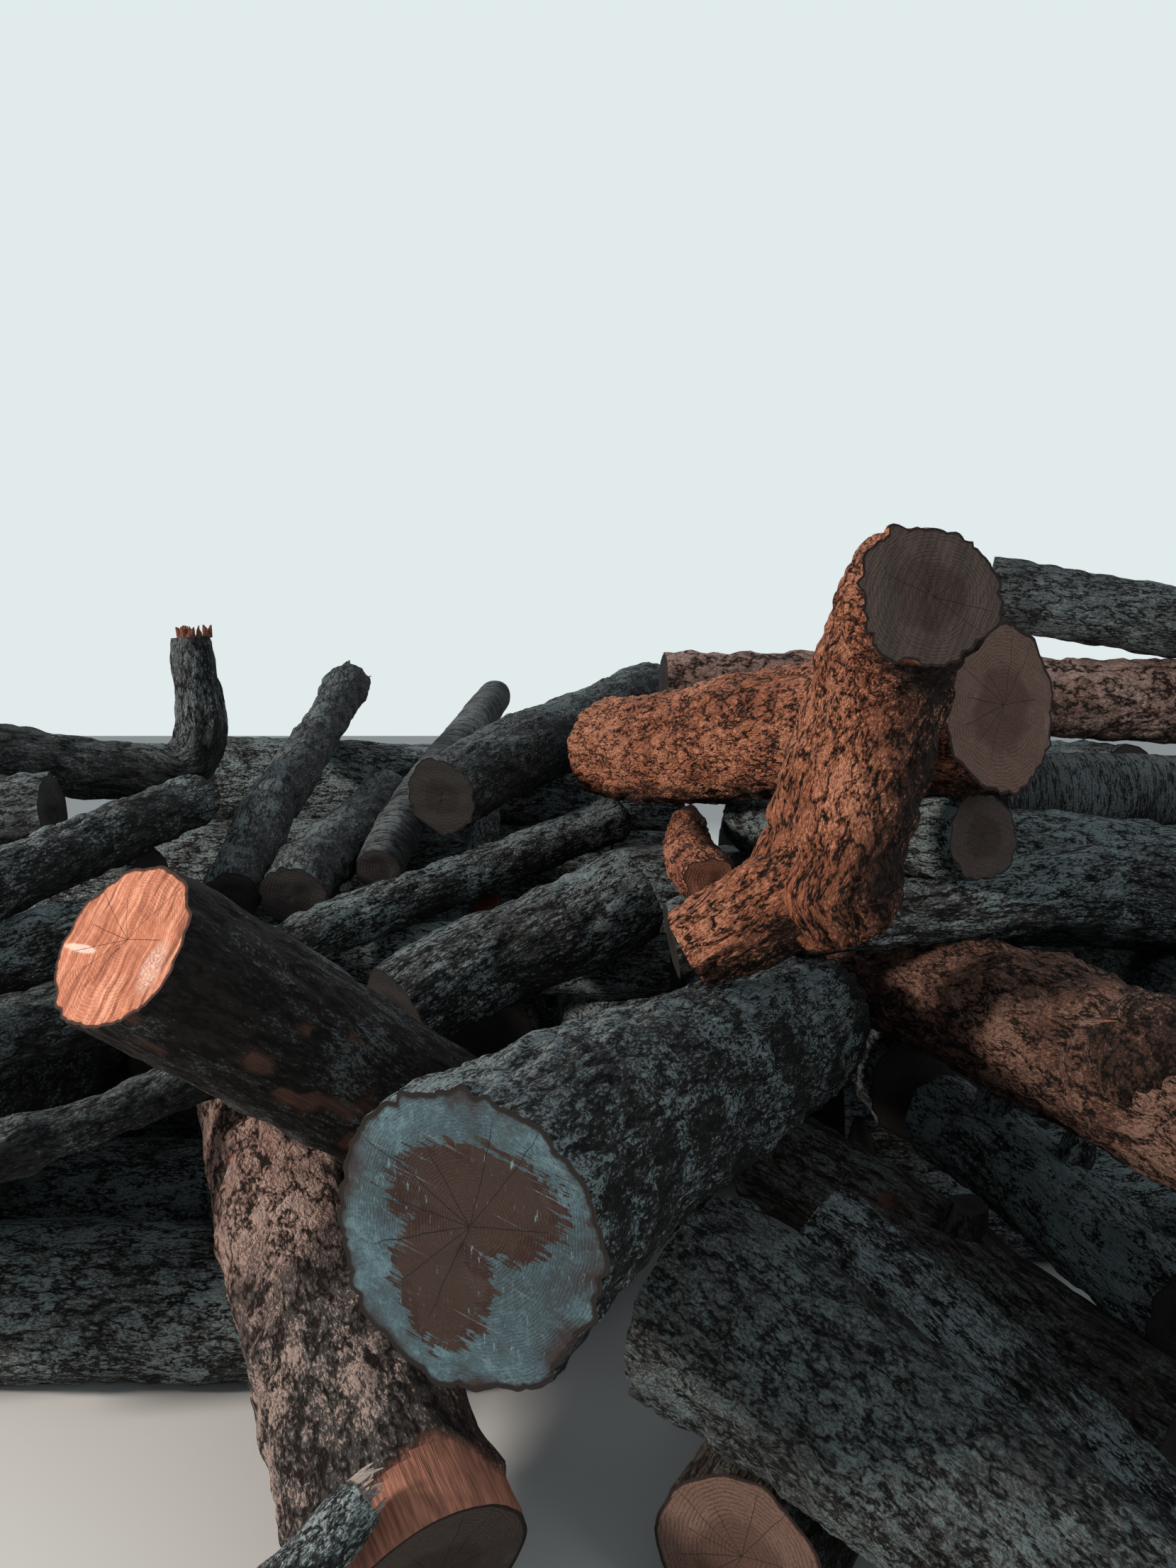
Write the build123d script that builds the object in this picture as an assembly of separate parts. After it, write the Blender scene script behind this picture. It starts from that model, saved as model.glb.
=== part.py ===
from build123d import *
import os
from dataclasses import dataclass
from math import cos, degrees, pi, radians, sin

import numpy as np
from scipy.interpolate import CubicSpline
from scipy.optimize import linprog

os.makedirs("parts", exist_ok=True)

# A loose heap of felled logs. Millimetres, +Z up, the viewer's side towards -Y.
# Each log is a row of the table below: where its near end stands in plan, which way it points,
# how long and thick it is. Its height and slope aren't given: each log is let down onto those
# already lying there until its own weight holds it, so the heap rebuilds itself round a changed size.

FRONT_LOG_BUTT = 440.0
SUNLIT_LOG_BUTT = 335.0
CHIP_BARK_LOG_BUTT = 385.0
SCALY_LOG_BUTT = 380.0
TILTED_LOG_BUTT = 385.0
GROUND_LOG_BUTT = 430.0
GROUND_LOG_TOP = 392.0
SECOND_LOG_BUTT = 400.0
SECOND_LOG_TOP = 380.0
THIRD_LOG_BUTT = 370.0
THIRD_LOG_TOP = 355.0

CONTACT_GAP = 0.8  # air left where one log rests on another
SAMPLE = 50.0  # spacing of the points by which a log feels the others while it comes down
FINE_SAMPLE = 10.0  # the same for its last movements
RING_SPACING = 130.0  # sections of a loft
CROOK_SPACING = 60.0  # the same where a log is crooked
SWELL_REACH = 240.0  # how far a swelling fades along the log
SAWN_END_RINGS = ((1.0, 96), (0.55, 48))  # where a sawn end feels the others: share of its radius, how many points


@dataclass
class Limb:
    """A branch, stub or fork of a log: leaves its spine at a distance, in the log's own directions."""

    at: float
    forward: float
    side: float
    up: float
    length: float
    base_d: float
    tip_d: float


@dataclass
class Log:
    """One log. Heading 0 points to +X and 90 away from the viewer, who sees the near end first."""

    name: str
    x: float
    y: float
    heading: float
    length: float
    near_d: float
    far_d: float
    slope: float = 0.0
    held: bool = False  # wedged at its given slope
    bow: float = 25.0
    bow_side: float = 0.0  # 0 bows to its left, 90 upwards
    wave: float = 10.0
    wave_side: float = 60.0
    swells: tuple = ()  # (distance along, added radius)
    way: tuple = ()  # a crooked spine instead of a bowed one: points (forward, side, up, diameter)
    limbs: tuple = ()


def plain_log(name, x, y, heading, length, near_d, far_d):
    """A nearly straight log inside the heap."""
    return Log(name, x, y, heading, length, near_d, far_d, bow=12, wave=0)


def unit(vector):
    return vector / np.linalg.norm(vector, axis=-1, keepdims=True)


def spine(log, step):
    """Centre line in the log's own directions (forward, side, up), with its radius and tangent."""
    count = max(3, int(round(log.length / step)) + 1)
    u = np.linspace(0.0, 1.0, count)
    if log.way:
        marks = np.array(log.way)
        chord = np.concatenate([[0.0], np.cumsum(np.linalg.norm(np.diff(marks[:, :3], axis=0), axis=1))])
        curve = CubicSpline(chord / chord[-1], marks)
        points, radius = curve(u)[:, :3], 0.5 * curve(u)[:, 3]
        return points, radius, unit(curve(u, 1)[:, :3])
    bow, wave = radians(log.bow_side), radians(log.wave_side)
    across = np.outer(log.bow * 4 * u * (1 - u), [0, cos(bow), sin(bow)])
    across += np.outer(log.wave * np.sin(2 * pi * u), [0, cos(wave), sin(wave)])
    turn = np.outer(log.bow * 4 * (1 - 2 * u), [0, cos(bow), sin(bow)])
    turn += np.outer(log.wave * 2 * pi * np.cos(2 * pi * u), [0, cos(wave), sin(wave)])
    points = np.outer(log.length * u, [1, 0, 0]) + across
    radius = 0.5 * (log.near_d + (log.far_d - log.near_d) * u)
    for place, extra in log.swells:
        radius = radius + extra * np.exp(-(((log.length * u - place) / SWELL_REACH) ** 2))
    return points, radius, unit(np.array([log.length, 0, 0]) + turn)


def limb_spine(log, limb, step):
    """The same for a limb, from the trunk's centre line out to its sawn tip."""
    points, _, _ = spine(log, SAMPLE)
    place = np.linspace(0.0, log.length, len(points))
    root = np.array([np.interp(limb.at, place, points[:, k]) for k in range(3)])
    direction = unit(np.array([limb.forward, limb.side, limb.up]))
    count = max(3, int(round(limb.length / step)) + 1)
    u = np.linspace(0.0, 1.0, count)
    points = root + np.outer(limb.length * u, direction)
    radius = 0.5 * (limb.base_d + (limb.tip_d - limb.base_d) * u)
    return points, radius, np.tile(direction, (count, 1))


def directions(log, slope):
    """The log's forward, side and up directions as columns, in the heap's frame."""
    turn, rise = radians(log.heading), radians(slope)
    forward = np.array([cos(turn) * cos(rise), sin(turn) * cos(rise), sin(rise)])
    side = np.array([-sin(turn), cos(turn), 0.0])
    return np.column_stack([forward, side, np.cross(forward, side)])


def stems(log, slope, height, step):
    """Trunk and limbs in the heap's frame, each as (points, radius, tangent)."""
    axes = directions(log, slope)
    origin = np.array([log.x, log.y, height])
    parts = [spine(log, step)] + [limb_spine(log, limb, step) for limb in log.limbs]
    return [(origin + points @ axes.T, radius, tangent @ axes.T) for points, radius, tangent in parts]


def feelers(log, slope, height, step):
    """Spheres inside the log that together trace its skin, and points on the rims of its sawn ends."""
    rows = []
    for points, radius, tangent in stems(log, slope, height, step):
        along = np.concatenate([[0.0], np.cumsum(np.linalg.norm(np.diff(points, axis=0), axis=1))])
        ball = radius / np.sqrt(1 + np.gradient(radius, along) ** 2)
        rows.append(np.column_stack([points, ball, tangent, along, along[-1] - along]))
        for end in (0, -1):
            across = unit(np.cross(tangent[end], [0.0, 0.0, 1.0]) + 1e-9)
            upward = np.cross(tangent[end], across)
            for share, count in SAWN_END_RINGS:
                angle = np.linspace(0, 2 * pi, count, endpoint=False)
                ring = np.outer(np.cos(angle), across) + np.outer(np.sin(angle), upward)
                rim = points[end] + share * radius[end] * ring
                room = np.full((count, 2), 1e9)
                rows.append(np.column_stack([rim, np.zeros(count), np.tile(tangent[end], (count, 1)), room]))
    table = np.concatenate(rows)
    return table[:, :3], table[:, 3], table[:, 4:7], table[:, 7], table[:, 8]


class Heap:
    """The logs already lying: their stems as short cones, flat where a log is sawn."""

    def __init__(self):
        self.start = np.zeros((0, 3))
        self.end = np.zeros((0, 3))
        self.start_r = np.zeros(0)
        self.end_r = np.zeros(0)
        self.flat_start = np.zeros(0, bool)
        self.flat_end = np.zeros(0, bool)
        self.lying = []

    def add(self, log, slope, height):
        self.lying.append((log, slope, height))
        for points, radius, _ in stems(log, slope, height, SAMPLE):
            cones = len(points) - 1
            self.start = np.concatenate([self.start, points[:-1]])
            self.end = np.concatenate([self.end, points[1:]])
            self.start_r = np.concatenate([self.start_r, radius[:-1]])
            self.end_r = np.concatenate([self.end_r, radius[1:]])
            self.flat_start = np.concatenate([self.flat_start, np.arange(cones) == 0])
            self.flat_end = np.concatenate([self.flat_end, np.arange(cones) == cones - 1])

    def near(self, centre, radius, reach, from_above):
        """Pairs of a feeler and a cone that may come within reach of one another."""
        if not len(self.start):
            return np.zeros(0, int), np.zeros(0, int)
        axes = slice(0, 2) if from_above else slice(0, 3)
        middle = 0.5 * (self.start + self.end)
        size = 0.5 * np.linalg.norm(self.end - self.start, axis=1) + np.maximum(self.start_r, self.end_r)
        low = (centre - radius[:, None]).min(0)[axes] - reach
        high = (centre + radius[:, None]).max(0)[axes] + reach
        box = np.all((middle[:, axes] - size[:, None] < high) & (middle[:, axes] + size[:, None] > low), axis=1)
        cone = np.nonzero(box)[0]
        between = centre[:, None, axes] - middle[None, cone, axes]
        limit = radius[:, None] + size[None, cone] + reach
        feeler, index = np.nonzero((between**2).sum(2) < limit**2)
        return feeler, cone[index]

    def distance(self, point, cone):
        """Signed distance from each point to its cone's skin, and the direction outwards."""
        start, start_r, end_r = self.start[cone], self.start_r[cone], self.end_r[cone]
        axis = self.end[cone] - start
        length = np.linalg.norm(axis, axis=1)
        axis = axis / length[:, None]
        offset = point - start
        along = (offset * axis).sum(1)
        outward = offset - along[:, None] * axis
        radial = np.linalg.norm(outward, axis=1)
        taper = (end_r - start_r) / length
        foot = along + taper * radial
        reached = np.clip(foot, 0.0, length)
        line = offset - reached[:, None] * axis
        gap = np.linalg.norm(line, axis=1)
        normal = line / np.maximum(gap, 1e-9)[:, None]
        clear = gap - (start_r + taper * reached)
        side = (radial - (start_r + taper * along)) / np.sqrt(1 + taper**2)
        clear = np.where((foot >= 0) & (foot <= length), side, clear)
        past = np.maximum(-foot, foot - length)
        clear = np.where(past > 0.12 * radial + 1.0, 1e6, clear)
        before = self.flat_start[cone] & (along < 0)
        after = self.flat_end[cone] & (along > length)
        over = np.where(before, -along, along - length)
        beside = np.maximum(radial - np.where(before, start_r, end_r), 0.0)
        face = np.hypot(over, beside)
        facing = np.where(before, -over, over)[:, None] * axis
        facing = facing + (beside / np.maximum(radial, 1e-9))[:, None] * outward
        facing = facing / np.maximum(face, 1e-9)[:, None]
        beyond = before | after
        return np.where(beyond, face, clear), np.where(beyond[:, None], facing, normal)

    def clearances(self, log, slope, height, step, reach, from_above=False):
        """Room left at each feeler, with its change per millimetre of lift and per radian of slope."""
        centre, radius, tangent, back, front = feelers(log, slope, height, step)
        turn = radians(log.heading)
        hinge = np.array([sin(turn), -cos(turn), 0.0])
        swing = np.cross(hinge, centre - np.array([log.x, log.y, height]))
        room, lift, tilt = [], [], []
        feeler, cone = self.near(centre, radius, reach, from_above)
        if len(feeler):
            clear, normal = self.distance(centre[feeler], cone)
            order = np.lexsort((clear, feeler))
            feeler, clear, normal = feeler[order], clear[order], normal[order]
            first = np.concatenate([[True], feeler[1:] != feeler[:-1]])
            feeler, clear, normal = feeler[first], clear[first], normal[first]
            along = (normal * tangent[feeler]).sum(1) * radius[feeler]
            real = (along <= back[feeler] + 1e-6) & (-along <= front[feeler] + 1e-6)
            room.append((clear - radius[feeler] - CONTACT_GAP)[real])
            lift.append(normal[real, 2])
            tilt.append((normal * swing[feeler]).sum(1)[real])
        along = tangent[:, 2] * radius
        real = (along <= back + 1e-6) & (-along <= front + 1e-6)
        room.append((centre[:, 2] - radius)[real])
        lift.append(np.ones(real.sum()))
        tilt.append(swing[real, 2])
        return np.concatenate(room), np.concatenate(lift), np.concatenate(tilt)

    def let_down(self, log):
        """Slope and height at which the log comes to rest: its weight can't be brought any lower."""
        slope, height = log.slope, 3500.0
        room = np.array([np.inf])
        while room.min() > 1.0:
            room, _, _ = self.clearances(log, slope, height, SAMPLE, 20.0, from_above=True)
            height -= room.min() if room.min() > 1.0 else 0.0
        turn = radians(log.heading)
        hinge = np.array([sin(turn), -cos(turn), 0.0])
        most_lift, most_tilt = 100.0, radians(1e-6 if log.held else 5.0)
        step, last, still = SAMPLE, np.zeros(2), 0
        for _ in range(90):
            reach = most_lift + most_tilt * log.length + 10.0
            room, lift, tilt = self.clearances(log, slope, height, step, reach)
            lever = np.cross(hinge, centre_of_mass(log, slope))[2]
            close = room < reach
            rules = -np.column_stack([lift[close], tilt[close], np.ones(close.sum())])
            limits = [(-most_lift, most_lift), (-most_tilt, most_tilt), (0, None)]
            move = linprog([1.0, lever, 1e5], A_ub=rules, b_ub=room[close], bounds=limits, method="highs").x
            height += move[0]
            slope += degrees(move[1])
            moved = np.array([move[0], move[1] * 0.5 * log.length])
            if moved @ last < 0:
                most_lift, most_tilt = max(0.5 * most_lift, 0.02), max(0.5 * most_tilt, 1e-5)
            last = moved
            if np.abs(moved).max() < 1.0 and step == SAMPLE:
                step = FINE_SAMPLE
            elif np.abs(moved).max() < 0.01 and step == FINE_SAMPLE:
                still += 1
            if still > 1:
                break
        return slope, height


def centre_of_mass(log, slope):
    """From the near end's centre, in the heap's frame."""
    volume, moment = 0.0, np.zeros(3)
    for points, radius, _ in [spine(log, SAMPLE)] + [limb_spine(log, limb, SAMPLE) for limb in log.limbs]:
        step = np.linalg.norm(points[1] - points[0])
        volume += (radius**2).sum() * step
        moment += (points * radius[:, None] ** 2).sum(0) * step
    return directions(log, slope) @ (moment / volume)


GROUND_LOGS = [
    plain_log("left_ground_1", -2250, 3980, 2, 3000, GROUND_LOG_BUTT, GROUND_LOG_TOP),
    plain_log("left_ground_2", -2050, 4800, -2, 3050, GROUND_LOG_BUTT, GROUND_LOG_TOP),
    plain_log("left_ground_3", -2300, 5500, 1, 3100, 400, 360),
    plain_log("right_ground_1", 880, 4110, -2, 2600, GROUND_LOG_BUTT, GROUND_LOG_TOP),
    plain_log("right_ground_2", 1180, 4850, 2, 2300, 420, 400),
    plain_log("right_ground_3", 980, 5560, -3, 2200, 400, 360),
    plain_log("inner_ground", -2350, 3300, 2, 2000, 400, 380),
    plain_log("prop_log", -2150, 2850, 0, 1750, 375, 360),
    plain_log("cross_ground", 840, 3480, 0, 2600, 420, 400),
    plain_log("side_ground_1", 1800, 1850, 88, 1250, 400, 380),
    plain_log("side_ground_2", 2420, 1800, 91, 1300, 390, 380),
]

FRONT_LOGS = [
    Log("ringed_log", 266, 1978, 55, 1450, 332, 225),
    Log("chip_bark_log", -273, 1915, 117, 1630, CHIP_BARK_LOG_BUTT, 330, slope=10),
    Log("lichen_branch", -900, 1360, 42, 800, 75, 90, slope=20),
    Log("scaly_log", 190, 2150, -42.7, 1500, SCALY_LOG_BUTT, 320, slope=-10, swells=((0, 15),)),
    Log("slanting_log", 500, 2500, -47.8, 1000, 290, 270, slope=-10),
    Log("stub_log", 465, 3000, -49, 1100, 275, 250, slope=-10, limbs=(Limb(560, 0, -0.15, 1, 200, 95, 84),)),
    Log(
        "twin_stub_log", 985, 3200, -70.9, 880, 250, 226, slope=-8, held=True,
        limbs=(Limb(140, 0.45, -0.1, 1, 210, 85, 78), Limb(430, 0.1, 0.2, 1, 200, 70, 62)),
    ),
    Log("sunlit_log", -857, 2123, 52, 1800, SUNLIT_LOG_BUTT, 385, slope=-35, held=True),
    Log("front_log", -178, 1630, 63.1, 1700, FRONT_LOG_BUTT, 372),
    Log("side_cross_log", 1180, 2000, 0, 1650, 300, 280),
]

SECOND_LOGS = [
    plain_log("second_12", 965, 3290, 90, 1400, 320, 300),
    plain_log("second_1", -2080, 2470, 90, 1500, SECOND_LOG_BUTT, SECOND_LOG_TOP),
    plain_log("second_2", -2090, 4100, 90, 2100, SECOND_LOG_BUTT, SECOND_LOG_TOP),
    plain_log("second_3", -1640, 2440, 90, 2700, SECOND_LOG_BUTT, SECOND_LOG_TOP),
    plain_log("second_4", -1190, 3480, 90, 2500, SECOND_LOG_BUTT, SECOND_LOG_TOP),
    plain_log("second_5", -760, 3460, 90, 2440, SECOND_LOG_BUTT, SECOND_LOG_TOP),
    plain_log("second_6", -330, 3460, 90, 2450, SECOND_LOG_BUTT, SECOND_LOG_TOP),
    plain_log("second_7", 100, 3380, 90, 2560, SECOND_LOG_BUTT, SECOND_LOG_TOP),
    plain_log("second_8", 570, 3800, 90, 2200, 380, 360),
    plain_log("second_9", 1480, 3500, 91, 2400, 420, 400),
    plain_log("second_10", 2000, 3400, 88, 2500, 420, 400),
    plain_log("second_11", 2700, 3300, 90, 2600, 430, 400),
]

THIRD_LOGS = [
    plain_log("third_1", -1800, 4700, 1, 2200, THIRD_LOG_BUTT, THIRD_LOG_TOP),
    plain_log("third_2", -1750, 5150, -1, 2200, THIRD_LOG_BUTT, THIRD_LOG_TOP),
    plain_log("third_3", -1700, 4930, 0, 2100, THIRD_LOG_BUTT, THIRD_LOG_TOP),
    plain_log("third_4", -1330, 3660, -8.5, 1600, 220, 200),
    plain_log("third_5", -2450, 3600, 1, 1080, 460, 430),
    plain_log("third_6", 1340, 4010, 0, 1900, 420, 400),
    plain_log("third_7", 560, 4750, 2, 2600, 390, 380),
    plain_log("third_8", 80, 3930, 1, 1000, 380, 370),
    plain_log("third_9", -830, 3900, 0, 820, 215, 210),
]

FOURTH_LOGS = [
    plain_log("fourth_1", 860, 3950, 90, 1330, 340, 330),
    plain_log("fourth_2", 1900, 4120, 90, 1200, 290, 280),
    plain_log("fourth_3", 2800, 4120, 91, 1200, 290, 280),
]

LEFT_LOGS = [
    Log("thin_left_log", -1560, 2260, 40, 1000, 118, 110),
    Log("lower_left_log", -1850, 2350, 49, 1200, 186, 176),
    Log("middle_left_log", -2250, 2860, 10, 1150, 199, 190),
    Log("upper_left_log", -2600, 3380, 8, 1000, 240, 225),
    Log("crossing_left_log", -1304, 3885, -106.8, 1150, 176, 178),
    Log("ridge_log", -485, 2950, 31, 770, 258, 265, slope=19, held=True),
    Log("peeping_log", -330, 3800, 92, 1100, 106, 100, slope=10),
    Log("thin_log", -1000, 3070, 41.3, 1500, 149, 157, slope=10),
    Log("fan_log_1", -1080, 3520, 89.7, 1900, 184, 178, slope=15),
    Log("fan_log_2", -880, 3464, 85.6, 1220, 200, 222, slope=15),
    Log("fan_log_3", -639, 3561, 83.1, 1850, 152, 157, slope=15),
    Log("fan_log_4", -470, 3760, 64.2, 1750, 259, 300, slope=15),
    Log("elbow_log", -2500, 3310, 31, 1450, 256, 165, limbs=(Limb(1400, -0.2, 0, 1, 480, 180, 133),)),
]

RIGHT_LOGS = [
    Log(
        "burl_log", 777, 3610, -70.4, 2120, 305, 410,
        limbs=(Limb(1350, 0, -0.75, 0.65, 275, 250, 190),),
    ),
    Log("dark_cross_log", 900, 3500, 0, 2300, 359, 340),
    Log("grey_cross_log", 1350, 3900, 0, 1900, 259, 250),
    Log("bridge_log", 220, 3070, -2, 1150, 200, 190),
    Log("small_face_log", 944, 2791, 110, 1200, 220, 205),
    Log("small_end_log", 300, 2900, 88, 1100, 140, 130),
    Log("tilted_log", 942, 2677, 119, 1750, TILTED_LOG_BUTT, 365, slope=-10),
    Log("pink_bark_log", 270, 4230, 2, 2700, 240, 330),
    Log("top_log", 1500, 4460, -20.7, 1900, 260, 240),
    Log(
        "forked_log", 552, 2576, -90, 1000, 290, 275, held=True,
        way=(
            (0, 0, 0, 290), (30, 5, 250, 300), (50, 60, 470, 300),
            (110, 80, 620, 290), (210, 95, 690, 280), (300, 100, 700, 275),
        ),
        limbs=(Limb(150, -0.11, -0.84, -0.53, 370, 230, 180),),
    ),
]

ROWS = [GROUND_LOGS, FRONT_LOGS, SECOND_LOGS, THIRD_LOGS, FOURTH_LOGS, LEFT_LOGS, RIGHT_LOGS]


def lay_heap(rows):
    """Lets every log down in turn, the lowest rows first."""
    heap = Heap()
    for log in [log for row in rows for log in row]:
        heap.add(log, *heap.let_down(log))
    return heap


# Solids

def tube(points, radius, tangent, sideways):
    """A round stem through its cross-sections."""
    rings = []
    for centre, size, along in zip(points, radius, tangent):
        across = unit(sideways - (sideways @ along) * along)
        rings.append(Plane(origin=tuple(centre), x_dir=tuple(across), z_dir=tuple(along)) * Circle(float(size)))
    return loft(rings)


def cone(points, radius, tangent):
    """A limb, from inside the trunk to its sawn tip."""
    length = float(np.linalg.norm(points[-1] - points[0]))
    foot = Plane(origin=tuple(points[0]), z_dir=tuple(tangent[0]))
    return Solid.make_cone(float(radius[0]), float(radius[-1]), length, plane=foot)


def log_solid(log, slope, height):
    """Trunk and limbs in one."""
    trunk, *limbs = stems(log, slope, height, CROOK_SPACING if log.way else RING_SPACING)
    solid = tube(*trunk, directions(log, slope)[:, 1])
    for limb in limbs:
        solid = solid + cone(*limb)
    return solid


COURSES = {"ground_course": GROUND_LOGS, "second_course": SECOND_LOGS, "third_course": THIRD_LOGS + FOURTH_LOGS}


def node_name(log):
    """The plain logs inside the heap share a node with their course."""
    for course, logs in COURSES.items():
        if any(log is one for one in logs):
            return course
    return log.name


def build():
    nodes = {}
    for log, slope, height in lay_heap(ROWS).lying:
        nodes.setdefault(node_name(log), []).append(log_solid(log, slope, height))
    heap = Compound([solid for solids in nodes.values() for solid in solids])
    box = heap.bounding_box()
    shift = Pos(-box.center().X, -box.center().Y, -box.min.Z)
    for name, solids in nodes.items():
        moved = [shift * solid for solid in solids]
        export_step(moved[0] if len(moved) == 1 else Compound(moved), f"parts/{name}.step")
    print("shift", shift.position, "size", box.size, len(nodes), "nodes")


build()
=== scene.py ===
from dataclasses import dataclass, replace
from functools import cache
from math import pi, radians

import bpy
import numpy as np
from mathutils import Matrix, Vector


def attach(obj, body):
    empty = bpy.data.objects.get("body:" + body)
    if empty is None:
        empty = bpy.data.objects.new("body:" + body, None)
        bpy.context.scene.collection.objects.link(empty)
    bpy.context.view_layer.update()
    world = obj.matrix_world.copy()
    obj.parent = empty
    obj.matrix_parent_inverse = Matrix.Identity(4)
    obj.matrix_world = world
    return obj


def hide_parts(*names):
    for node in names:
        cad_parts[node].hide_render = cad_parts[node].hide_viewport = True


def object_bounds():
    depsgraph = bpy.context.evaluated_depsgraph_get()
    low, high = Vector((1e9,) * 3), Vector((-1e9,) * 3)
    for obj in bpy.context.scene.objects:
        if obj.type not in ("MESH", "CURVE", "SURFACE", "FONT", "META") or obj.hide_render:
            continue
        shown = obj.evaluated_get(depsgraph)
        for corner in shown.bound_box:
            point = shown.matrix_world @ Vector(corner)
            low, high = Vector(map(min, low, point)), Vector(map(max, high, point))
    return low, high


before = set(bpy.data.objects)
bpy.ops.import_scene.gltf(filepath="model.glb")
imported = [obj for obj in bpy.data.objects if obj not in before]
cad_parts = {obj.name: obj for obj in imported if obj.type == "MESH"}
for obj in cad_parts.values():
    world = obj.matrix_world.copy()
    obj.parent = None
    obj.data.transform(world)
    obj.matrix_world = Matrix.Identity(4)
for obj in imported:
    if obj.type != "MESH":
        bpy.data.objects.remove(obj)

BODY = "root"
CAD_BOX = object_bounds()

# The photograph was taken from eye height over the ground at the heap's front, a little downwards.
EYE = (-0.427, -3.632, 1.72)
LOOK_DOWN = 4.6  # degrees
LENS = 27.0  # millimetres, as the sensor
SENSOR = 36.0

# Mesh cells grow with their distance from the eye; the logs inside the heap get coarse ones.
CELL_PER_METRE = 0.0040
FINEST_CELL = 0.0075
COARSEST_CELL = 0.015
COURSE_CELL = 0.028
CELL_STRETCH = 1.3  # along the log
FACE_RINGS = 14
COURSE_FACE_RINGS = 4

# How a sawn end is told from bark in a node's triangles, in metres
DECIMALS = 5  # corners that agree to this many are one
DIRECTION_BINS = 200
LEVEL_BINS = 500
FLAT_AREA = 0.0015  # square metres; a flat bit of bark is smaller
SAME_DIRECTION = 0.9998  # cosine between two directions
SAME_LEVEL = 0.0008
SAME_END = 0.01
FEWEST_CORNERS = 8
ROUND_SHARE = 2.5  # of its radius squared; a full circle has pi

# How a log's centre line is read from slices through its triangles
STATIONS = 17
SLICE_ROUNDS = 3
SLICE_TOLERANCES = (0.5, 0.15)  # how far off the radius a point may lie, as a share of it
FEWEST_CROSSINGS = 6

# Overgrown branch scars
KNOT_COUNT = (2, 6)  # at least, and one more than at most
KNOT_SIZE = (0.022, 0.045)
KNOT_STRETCH = 1.3  # along the log
KNOT_HEIGHT = 0.38  # as a share of its size
DIMPLE_SHARE = 0.42

# Low waves round a log: how many, how high as a share of its radius, how far they turn along a metre
LOBES = ((2, 0.024, 1.0), (3, 0.015, -1.3), (5, 0.008, 2.0))
EDGE_DROP = 0.004  # the bark's crumbled edge at a saw cut
EDGE_REACH = 0.012
BARK_THICKNESS = 0.006
SAW_STEP = 0.0015
SAW_PITCH = 0.011
SAW_WAVE = 0.003
SAW_TO_RIM = 6  # a face's steps fade out over a sixth of its radius

# Patterns on the ends
PITH = (0.05, 0.10)  # right of and above the middle, as shares of the radius
SPOKES = 15  # directions in which an end may crack
SAW_MARKS = 420  # waves per metre, times two pi
STREAK_FALL = 0.30  # radians
FACE_RELIEF = 0.0025
GRAIN_RANGE = 40  # metres by which two logs' patterns may lie apart

FIRST_SEED = 11

PAINTED_LIGHT_FROM = np.array([-0.78, -0.38, 0.50])  # where the painted light comes from: the side facing it is painted sunlit, the other painted shade
COURSES = ("ground_course", "second_course", "third_course")


@dataclass
class Bark:
    """Sizes in metres, colours in linear light, shares from 0 to 1."""

    plate: tuple  # length and width
    ridge: float  # height of the ridges that the mesh shows
    lump: float
    # furrow: the colour low in the relief, partly the bark's own and partly painted shade
    furrow: tuple
    painted_shade_side: tuple  # painted shade: colour of the side turned away from the light
    # painted sunlight: colour of the side turned to the light
    painted_sun_side: tuple
    lichen: tuple
    lichen_share: float
    wood: tuple = (0.20, 0.11, 0.08)
    peeled: float = 0.0
    peeled_end: float = 0.0  # how far the bark is gone from the near end
    near_colour: tuple = ()  # painted sunlit side's colour on the near half, where it differs


@dataclass
class Face:
    """A sawn end: colours in linear light, shares from 0 to 1."""

    outer: tuple
    heart: tuple
    line: tuple
    rim: tuple
    ring: float  # width of a year in metres
    contrast: float
    speck: tuple
    speck_share: float


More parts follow.
